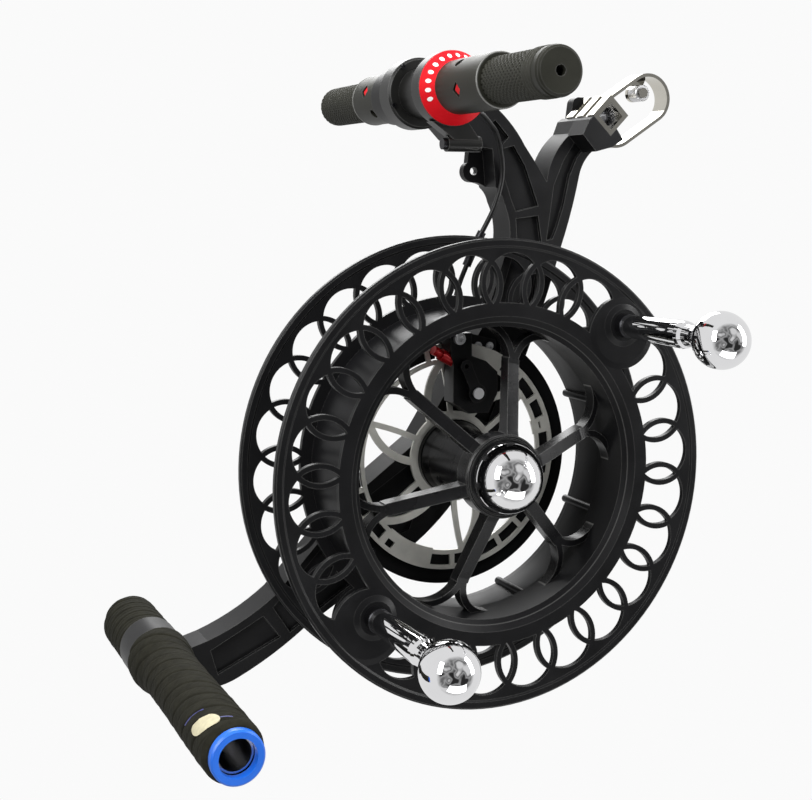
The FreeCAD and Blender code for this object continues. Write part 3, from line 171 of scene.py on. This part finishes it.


# Colour, roughness and metallic of each surface, then whatever differs from the usual texture; edge
# is the grey of a painted highlight on sharp edges.
SURFACES = {
    "moulded_black": ((0.0085, 0.0085, 0.009), 0.38, 0.0,
                      {"bump": 0.12, "specular": 0.13, "edge": 0.08}),
    "flange_black": ((0.007, 0.007, 0.0075), 0.33, 0.0,
                     {"bump": 0.10, "specular": 0.13, "edge": 0.06}),
    "drum_black": ((0.006, 0.006, 0.0065), 0.36, 0.0,
                   {"bump": 0.08, "specular": 0.1, "edge": 0.06}),
    "spider_black": ((0.006, 0.006, 0.0065), 0.27, 0.0,
                     {"bump": 0.06, "specular": 0.18, "edge": 0.10}),
    "chrome": ((0.86, 0.86, 0.87), 0.04, 1.0,
               {"bump": 0.006, "spread": 0.03, "rough_spread": 0.02}),
    "guide_chrome": ((0.62, 0.60, 0.54), 0.09, 1.0,
                     {"bump": 0.01, "spread": 0.06, "rough_spread": 0.03}),
    "steel": ((0.58, 0.58, 0.59), 0.28, 1.0, {"grain": 0.0004, "bump": 0.05, "spread": 0.1}),
    "dark_steel": ((0.03, 0.03, 0.033), 0.35, 0.9, {"bump": 0.05}),
    "disc_steel": ((0.80, 0.79, 0.73), 0.42, 0.35, {"grain": 0.0005, "bump": 0.08}),
    "bead_grey": ((0.20, 0.20, 0.19), 0.4, 0.3, {"bump": 0.03, "spread": 0.05}),
    "bright_steel": ((0.85, 0.85, 0.86), 0.3, 0.6, {"bump": 0.03, "spread": 0.05}),
    "bar_olive": ((0.020, 0.020, 0.0155), 0.42, 0.0,
                  {"bump": 0.06, "specular": 0.12, "edge": 0.07}),
    "grip_rubber": ((0.022, 0.022, 0.017), 0.6, 0.0,
                    {"specular": 0.25, "bump": 0.2, "grain": 0.0008}),
    "clamp_grey": ((0.009, 0.009, 0.0085), 0.34, 0.0,
                   {"bump": 0.05, "specular": 0.28, "edge": 0.09}),
    "dial_red": ((0.60, 0.006, 0.012), 0.4, 0.0,
                 {"specular": 0.12, "bump": 0.03, "spread": 0.08}),
    "foam": ((0.0150, 0.0145, 0.0105), 0.85, 0.0,
             {"specular": 0.1, "bump": 0.5, "grain": 0.0012, "spread": 0.25, "patch": 0.006}),
    "slit_blue": ((0.030, 0.035, 0.16), 0.5, 0.0, {"bump": 0.03}),
    "ring_blue": ((0.008, 0.12, 0.60), 0.34, 0.0, {"bump": 0.03, "spread": 0.06}),
    "tube_metal": ((0.75, 0.75, 0.76), 0.22, 1.0, {"bump": 0.08, "stretch": (1, 0.1, 1)}),
    "caliper_black": ((0.007, 0.007, 0.0075), 0.33, 0.0,
                      {"bump": 0.1, "specular": 0.2, "edge": 0.05}),
    "pad_lining": ((0.10, 0.085, 0.07), 0.9, 0.0, {"bump": 0.5, "grain": 0.001}),
    "adjuster_red": ((0.55, 0.008, 0.012), 0.3, 0.3, {"bump": 0.03}),
    "cable_black": ((0.007, 0.007, 0.0072), 0.35, 0.0, {"bump": 0.05, "specular": 0.3}),
    "mark_white": ((0.82, 0.80, 0.78), 0.5, 0.0, {"bump": 0.02, "spread": 0.04}),
    "label_cream": ((0.50, 0.46, 0.31), 0.55, 0.0,
                    {"bump": 0.05, "spread": 0.12, "patch": 0.003}),
}

MATERIALS = {name: textured(name, color, roughness, metallic, **texture)
             for name, (color, roughness, metallic, texture) in SURFACES.items()}

NODE_MATERIAL = {
    "moulded_black": ["frame_plate", "disc_guard"],
    "flange_black": ["front_flange", "rear_flange"],
    "drum_black": ["spool_drum"],
    "spider_black": ["reel_spider", "hub_barrel", "hub_bezel"],
    "chrome": ["hub_cap", "crank_sleeve_upper", "crank_sleeve_lower", "crank_ball_upper",
               "crank_ball_lower"],
    "guide_chrome": ["guide_block", "guide_loop", "guide_roller_pin"],
    "steel": ["axle", "axle_front_nut", "axle_rear_nut", "axle_washer", "axle_spacer", "bearings",
              "crank_spindles", "spindle_nuts", "guide_insert", "guide_roller"],
    "bright_steel": ["caliper_pivot", "caliper_bolts"],
    "disc_steel": ["brake_disc"],
    "dark_steel": ["guard_screws", "flange_screws", "brake_disc_bolts", "end_disc_screws",
                   "bar_clamp_screw", "crank_bushes", "cable_ferrule"],
    "bar_olive": ["rear_sleeve", "twist_sleeve", "twist_cap", "bar_core"],
    "grip_rubber": ["twist_grip_rubber", "rear_grip"],
    "clamp_grey": ["bar_clamp", "bar_end_disc"],
    "dial_red": ["drag_dial", "twist_window", "rear_window"],
    "foam": ["waist_grip_front", "waist_grip_rear", "waist_collar"],
    "ring_blue": ["waist_rings"],
    "tube_metal": ["waist_bar_tube"],
    "caliper_black": ["caliper_body", "caliper_lever"],
    "pad_lining": ["brake_pad_fixed", "brake_pad_moving"],
    "adjuster_red": ["pad_adjuster"],
    "cable_black": ["brake_cable"],
}

BEVELS = {                      # width of the rounded edges, mm
    "frame_plate": 1.0, "front_flange": 0.5, "rear_flange": 0.5, "reel_spider": 1.1,
    "disc_guard": 0.5, "caliper_body": 0.7, "caliper_lever": 0.4, "brake_disc": 0.25,
    "guide_block": 0.35, "guide_loop": 0.35, "bar_end_disc": 0.4, "bar_clamp": 0.5,
    "spool_drum": 0.5, "rear_sleeve": 0.4, "twist_sleeve": 0.4, "drag_dial": 0.3,
    "hub_bezel": 0.3, "waist_rings": 0.3,
}
BEVEL_SEGMENTS = 2
BEVEL_ANGLE = math.radians(38)  # edges sharper than this are rounded


def dress_nodes():
    for name, nodes in NODE_MATERIAL.items():
        for node in nodes:
            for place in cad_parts[node].material_slots:
                place.material = MATERIALS[name]


def bevel_nodes():
    """Small rounded edges, so that they catch the light as moulded and turned edges do."""
    for node, width in BEVELS.items():
        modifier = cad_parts[node].modifiers.new("edge", "BEVEL")
        modifier.width = width * MM
        modifier.segments = BEVEL_SEGMENTS
        modifier.limit_method = "ANGLE"
        modifier.angle_limit = BEVEL_ANGLE
        modifier.use_clamp_overlap = True
        modifier.harden_normals = True


# ---------------------------------------------------------------- helpers of the fine pieces

def mesh_piece(name, points, faces, material, smooth=True):
    mesh = bpy.data.meshes.new(name)
    mesh.from_pydata([tuple(at(*point)) for point in points], [], faces)
    mesh.materials.append(MATERIALS[material])
    for face in mesh.polygons:
        face.use_smooth = smooth
    mesh.update()
    thing = bpy.data.objects.new(name, mesh)
    scene.collection.objects.link(thing)
    return thing


def finished(thing, body):
    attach(thing, body)
    return thing


def ramp(value, low, high):
    """0 up to low, 1 from high on, straight between them."""
    return min(max((value - low) / (high - low), 0.0), 1.0)


def round_axis(axis, radius, angle, y):
    """The point at that radius and angle from an axis that runs along Y."""
    return (axis[0] + radius * math.cos(angle), y, axis[1] + radius * math.sin(angle))


def sleeve(name, axis, start, end, inner, radius_at, around, along, material):
    """A skin round a Y axis whose radius is radius_at(angle, y), closed by rings at both ends."""
    points, faces = [], []
    for j in range(along + 1):
        y = start + (end - start) * j / along
        for i in range(around):
            angle = TURN * i / around
            points.append(round_axis(axis, radius_at(angle, y), angle, y))
    for j in range(along):
        for i in range(around):
            k = (i + 1) % around
            faces.append((j * around + i, (j + 1) * around + i,
                          (j + 1) * around + k, j * around + k))
    for j, y in ((0, start), (along, end)):
        base = len(points)
        for i in range(around):
            points.append(round_axis(axis, inner, TURN * i / around, y))
        for i in range(around):
            k = (i + 1) % around
            quad = (j * around + i, j * around + k, base + k, base + i)
            faces.append(quad if j == 0 else quad[::-1])
    return mesh_piece(name, points, faces, material)


# ---------------------------------------------------------------- top bar

GRIP = 14.7                     # outside radius of the rubber grips
GRIP_FRONT = -115.0
SLEEVE_FRONT = -54.0
REAR_TRIM = 146.0
BAR_REAR = 223.0
GRIP_BORE = 12.0                # inside of the front grip's skin
CLOSED = 0.01                   # inside of a skin whose end is closed

BRICKS_AROUND = 26              # bricks of the rubber's pattern in one course
COURSE_PITCH = 2.15
BRICK_SINK = 0.15               # top of the bricks below the grip's radius
BRICK_HEIGHT = 0.75
COURSE_GROOVE = (0.18, 0.43)    # groove's bottom and top edge, as shares of half a course
BRICK_GROOVE = (0.16, 0.36)     # the same across a brick

LIP_LENGTH = 9.5                # plain rings at the front grip's outer end
LIP_PITCH = 3.15
LIP_RISE = 0.45
LIP_DEPTH = 0.9
LIP_HALF_WIDTH = 0.32           # half a ring's groove, as a share of the pitch
LIP_WALL = 0.14

END_ROUND = 4                   # length over which the rear grip's end is rounded
END_DROP = 1.6


def brick_radius(angle, y):
    """Radius of the grips' rubber, moulded in a brick pattern."""
    course = y / COURSE_PITCH
    row = math.floor(course)
    across = abs(course - row - 0.5) * 2
    turn = angle / TURN * BRICKS_AROUND + 0.5 * (row % 2)
    beside = abs(turn - math.floor(turn) - 0.5) * 2
    height = min(ramp(1 - across, *COURSE_GROOVE), ramp(1 - beside, *BRICK_GROOVE))
    return GRIP - BRICK_SINK - BRICK_HEIGHT * (1 - height)


def front_grip_radius(angle, y):
    if y < GRIP_FRONT + LIP_LENGTH:
        phase = (y - GRIP_FRONT) / LIP_PITCH
        dip = ramp(LIP_HALF_WIDTH - abs(phase - math.floor(phase) - 0.5), 0, LIP_WALL)
        return GRIP + LIP_RISE - LIP_DEPTH * dip
    return brick_radius(angle, y)


def rear_grip_radius(angle, y):
    return brick_radius(angle, y) - END_DROP * ramp(y, BAR_REAR - END_ROUND, BAR_REAR) ** 2


def top_grips():
    grip = sleeve("knurled_grip_front", BAR, GRIP_FRONT, SLEEVE_FRONT, GRIP_BORE,
                  front_grip_radius, 260, 220, "grip_rubber")
    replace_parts(finished(grip, "twist_grip"), "twist_grip_rubber")
    grip = sleeve("knurled_grip_rear", BAR, REAR_TRIM, BAR_REAR, CLOSED,
                  rear_grip_radius, 260, 260, "grip_rubber")
    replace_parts(finished(grip, "frame"), "rear_grip")


def bead(name, y, radius, thick, material):
    """A round bead that lies round the top bar."""
    around, section = 96, 10
    points, faces = [], []
    for i in range(around):
        angle = TURN * i / around
        for j in range(section):
            turn = TURN * j / section
            points.append(round_axis(BAR, radius + thick * math.cos(turn), angle,
                                     y + thick * math.sin(turn)))
    for i in range(around):
        here, there = i * section, (i + 1) % around * section
        for j in range(section):
            k = (j + 1) % section
            faces.append((here + j, there + j, there + k, here + k))
    return mesh_piece(name, points, faces, material)


def top_trims():
    finished(bead("front_trim_bead", SLEEVE_FRONT + 0.6, 16.9, 0.55, "bead_grey"),
             "twist_grip")
    finished(bead("rear_trim_bead", REAR_TRIM - 0.6, 16.9, 0.9, "bead_grey"), "frame")
    finished(bead("dial_trim_bead", 13.9, 23.9, 0.5, "clamp_grey"), "twist_grip")


CONE_FRONT = (4.0, 17.5)        # y and radius at the red cone's small end
CONE_BACK = (11.6, 23.6)
OVALS = 10
OVAL_FIRST = 56                 # degrees from +X
OVAL_PITCH = 16.3
OVAL_HALF_WIDTH = 1.35
OVAL_HALF_LENGTH = 2.15
OVAL_CIRCLE = 20.5              # the cone's radius at the ovals' middle
OVAL_LIFTS = (0.02, 0.16)       # underside and top above the cone
OVAL_CORNERS = 20


def cone_marks():
    """Plain white ovals on the upper and left part of the red cone."""
    deep, wide = CONE_BACK[0] - CONE_FRONT[0], CONE_BACK[1] - CONE_FRONT[1]
    length = math.hypot(deep, wide)
    slope = math.atan2(wide, deep)
    points, faces = [], []
    for k in range(OVALS):
        middle = math.radians(OVAL_FIRST + OVAL_PITCH * k)
        base = len(points)
        for lift in OVAL_LIFTS:
            for i in range(OVAL_CORNERS):
                turn = TURN * i / OVAL_CORNERS
                angle = middle + OVAL_HALF_WIDTH / OVAL_CIRCLE * math.cos(turn)
                share = 0.5 + OVAL_HALF_LENGTH / length * math.sin(turn)
                points.append(round_axis(
                    BAR, CONE_FRONT[1] + wide * share + lift * math.cos(slope), angle,
                    CONE_FRONT[0] + deep * share - lift * math.sin(slope)))
        faces.append(tuple(range(base + OVAL_CORNERS, base + 2 * OVAL_CORNERS)))
        faces.append(tuple(reversed(range(base, base + OVAL_CORNERS))))
        for i in range(OVAL_CORNERS):
            j = (i + 1) % OVAL_CORNERS
            faces.append((base + i, base + j, base + OVAL_CORNERS + j, base + OVAL_CORNERS + i))
    marks = mesh_piece("cone_marks", points, faces, "mark_white", smooth=False)
    finished(marks, "twist_grip")


# ---------------------------------------------------------------- waist bar

FOAM_BORE = 11.0
FOAM_FRONT = (-93.0, 80.0)      # y of the front foam, which ends at the frame
FOAM_REAR = (106.0, 161.0)
BULGE_START = 50.0              # from here on the front foam swells towards the frame
FOAM_RADIUS = 17.7
REAR_FOAM_RADIUS = 19.0
WAVE_HEIGHT = 0.25              # slow rise and fall of the front foam
WAVE_RATE = 0.045
BULGE_HEIGHT = 2.8
BULGE_TOP = 0.8                 # share of the bulge's length at which it is full
BULGE_DROP = 1.9                # rounding at the bulge's end
NOSE_LENGTH = 5                 # rounding at the front end
NOSE_DROP = 1.9
LAPS = 3                        # laps of tape started in one turn
FRONT_SEAM = (-81.7, 21.6, 0.9)     # first seam's y, pitch and depth
REAR_SEAM = (106.0, 10.2, 0.75)
SEAM_WIDTH = 0.9
CREASE_WIDTH = 0.7              # fainter crease between two seams
CREASE_SHARE = 0.3
REAR_NOISE = 0.8


def foam_noise(angle, y, seed):
    return (0.10 * math.sin(3 * angle + y * 0.31 + seed)
            + 0.07 * math.sin(7 * angle - y * 0.53 + 2 * seed)
            + 0.05 * math.sin(13 * angle + y * 1.1))


def seam(angle, y, start, pitch, depth):
    """Depth of the wound tape's seams, which run round at a slant."""
    lap = (y - start) / pitch - LAPS * angle / TURN
    near = abs(lap - round(lap)) * pitch
    between = pitch / 2 - near
    return (depth * math.exp(-(near / SEAM_WIDTH) ** 2)
            + CREASE_SHARE * depth * math.exp(-(between / CREASE_WIDTH) ** 2))


def front_foam_radius(angle, y):
    front, end = FOAM_FRONT
    if y < BULGE_START:
        base = FOAM_RADIUS + WAVE_HEIGHT * math.sin((y - front) * WAVE_RATE)
    else:
        share = (y - BULGE_START) / (end - BULGE_START)
        swell = math.sin(min(share, BULGE_TOP) / BULGE_TOP * math.pi / 2)
        base = FOAM_RADIUS + BULGE_HEIGHT * swell - BULGE_DROP * ramp(share, 0.9, 1.0) ** 2
    nose = NOSE_DROP * ramp(front + NOSE_LENGTH - y, 0, NOSE_LENGTH) ** 2
    cut = seam(angle, y, *FRONT_SEAM) if y > front + NOSE_LENGTH else 0.0
    return base - cut - nose + foam_noise(angle, y, 0.4)


def rear_foam_radius(angle, y):
    return REAR_FOAM_RADIUS - seam(angle, y, *REAR_SEAM) + foam_noise(angle, y, 1.7) * REAR_NOISE


def foam_grips():
    """Foam tape wound on at a slant, with a bulge where it presses on the frame."""
    grip = sleeve("foam_front", WAIST, *FOAM_FRONT, FOAM_BORE, front_foam_radius, 160, 340, "foam")
    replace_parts(finished(grip, "frame"), "waist_grip_front", "waist_collar")
    grip = sleeve("foam_rear", WAIST, *FOAM_REAR, FOAM_BORE, rear_foam_radius, 160, 120, "foam")
    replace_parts(finished(grip, "frame"), "waist_grip_rear")


PATCH_THICKNESS = 0.35
PATCH_SLANT = 0.18              # mm along the bar for one degree round it
PATCH_ROUNDNESS = 0.6           # 1 for an oval, less for fuller corners


def patch_on_bar(name, material, centre_angle, half_angle, start, end, radius, rounded=True):
    """A thin bare patch that lies on the waist foam."""
    around, along = 28, 20
    points, faces = [], []
    for lift in (0.0, PATCH_THICKNESS):
        for j in range(along + 1):
            v = -1 + 2 * j / along
            width = math.sqrt(max(1 - v * v, 0.0)) ** PATCH_ROUNDNESS if rounded else 1.0
            for i in range(around + 1):
                u = -1 + 2 * i / around
                angle = math.radians(centre_angle + half_angle * u * width)
                y = start + (end - start) * (v + 1) / 2 + PATCH_SLANT * half_angle * u * width
                points.append(round_axis(WAIST, radius + lift, angle, y))
    step = around + 1
    layer = step * (along + 1)
    for j in range(along):
        for i in range(around):
            a = j * step + i
            faces.append((a, a + step, a + step + 1, a + 1))
            faces.append((layer + a, layer + a + 1, layer + a + step + 1, layer + a + step))
    return finished(mesh_piece(name, points, faces, material), "frame")


def waist_marks():
    patch_on_bar("waist_patch", "label_cream", 134, 28, -83, -67.5, 17.75)
    patch_on_bar("waist_blue_left", "slit_blue", 142, 23, -58.1, -56.7, 17.5, rounded=False)
    patch_on_bar("waist_blue_right", "slit_blue", 95.6, 10, -83.0, -81.7, 17.5, rounded=False)


# ---------------------------------------------------------------- studio

WHITE = (1, 1, 1)
BACKDROP = (0.957, 0.957, 0.957)
FILL_STRENGTH = 0.25
ROOM_STRENGTH = 0.8
BLOT_SCALE = 1.7
BLOT_DETAIL = 1
ROOM_FRONT = (-0.55, -0.3)      # Y of a direction, from the mottled front to the white rest
BLOT_TONES = ((0.36, 0.03), (0.62, 0.85), (0.45, 0.45), (0.51, 0.16))   # ends first


def add_world():
    """White seen behind the part, a dim fill, and a white room with a dark, mottled front.

    Only reflections show the room.
    """
    world = bpy.data.worlds.new("studio")
    world.use_nodes = True
    scene.world = world
    nodes, links = world.node_tree.nodes, world.node_tree.links
    nodes.clear()

    def background(color, strength):
        shader = nodes.new("ShaderNodeBackground")
        shader.inputs["Color"].default_value = color + (1,)
        shader.inputs["Strength"].default_value = strength
        return shader

    seen = background(BACKDROP, 1.0)
    fill = background(WHITE, FILL_STRENGTH)
    room = background(WHITE, ROOM_STRENGTH)

    place = nodes.new("ShaderNodeTexCoord")
    split = nodes.new("ShaderNodeSeparateXYZ")
    links.new(place.outputs["Generated"], split.inputs[0])
    blots = nodes.new("ShaderNodeTexNoise")
    blots.inputs["Scale"].default_value = BLOT_SCALE
    blots.inputs["Detail"].default_value = BLOT_DETAIL
    links.new(place.outputs["Generated"], blots.inputs["Vector"])
    tones = nodes.new("ShaderNodeValToRGB")
    stops = tones.color_ramp.elements
    for index, (position, grey) in enumerate(BLOT_TONES):
        stop = stops[index] if index < 2 else stops.new(position)
        stop.position = position
        stop.color = (grey, grey, grey, 1)
    links.new(blots.outputs["Fac"], tones.inputs["Fac"])
    ahead = nodes.new("ShaderNodeMapRange")
    ahead.inputs["From Min"].default_value = ROOM_FRONT[0]
    ahead.inputs["From Max"].default_value = ROOM_FRONT[1]
    links.new(split.outputs["Y"], ahead.inputs["Value"])
    tone = nodes.new("ShaderNodeMix")
    tone.data_type = "RGBA"
    tone.inputs["B"].default_value = WHITE + (1,)
    links.new(ahead.outputs["Result"], tone.inputs["Factor"])
    links.new(tones.outputs["Color"], tone.inputs["A"])
    links.new(tone.outputs["Result"], room.inputs["Color"])

    path = nodes.new("ShaderNodeLightPath")
    either = nodes.new("ShaderNodeMath")
    either.operation = "MAXIMUM"
    links.new(path.outputs["Is Camera Ray"], either.inputs[0])
    links.new(path.outputs["Is Transmission Ray"], either.inputs[1])
    last = fill
    for share, shader in ((path.outputs["Is Glossy Ray"], room), (either.outputs[0], seen)):
        mix = nodes.new("ShaderNodeMixShader")
        links.new(share, mix.inputs["Fac"])
        links.new(last.outputs[0], mix.inputs[1])
        links.new(shader.outputs[0], mix.inputs[2])
        last = mix
    out = nodes.new("ShaderNodeOutputWorld")
    links.new(last.outputs[0], out.inputs["Surface"])


LAMP_AIM = Vector((0.18, 0, 0.15))
LAMPS = (                       # name, place, width, height, watts, whether reflections show it
    ("top_light", (0.0, -0.35, 1.5), 1.3, 0.9, 34, False),
    ("left_light", (-1.3, -0.9, 0.9), 0.5, 1.3, 24, True),
    ("right_light", (1.4, -0.7, 0.5), 0.4, 1.3, 16, True),
    ("low_light", (0.3, -1.1, -1.0), 1.6, 0.7, 8, True),
    ("rear_light", (0.6, 1.3, 1.0), 1.0, 1.0, 14, True),
)


def add_lamps():
    for name, spot, width, height, watts, mirrored in LAMPS:
        data = bpy.data.lights.new(name, "AREA")
        data.shape = "RECTANGLE"
        data.size = width
        data.size_y = height
        data.energy = watts
        thing = bpy.data.objects.new(name, data)
        thing.location = spot
        thing.rotation_euler = (LAMP_AIM - Vector(spot)).to_track_quat("-Z", "Y").to_euler()
        thing.visible_glossy = mirrored
        scene.collection.objects.link(thing)


# ---------------------------------------------------------------- everything in place

top_grips()
top_trims()
cone_marks()
foam_grips()
waist_marks()

scene.view_settings.view_transform = "Standard"
add_camera()
add_world()
add_lamps()
dress_nodes()
bevel_nodes()
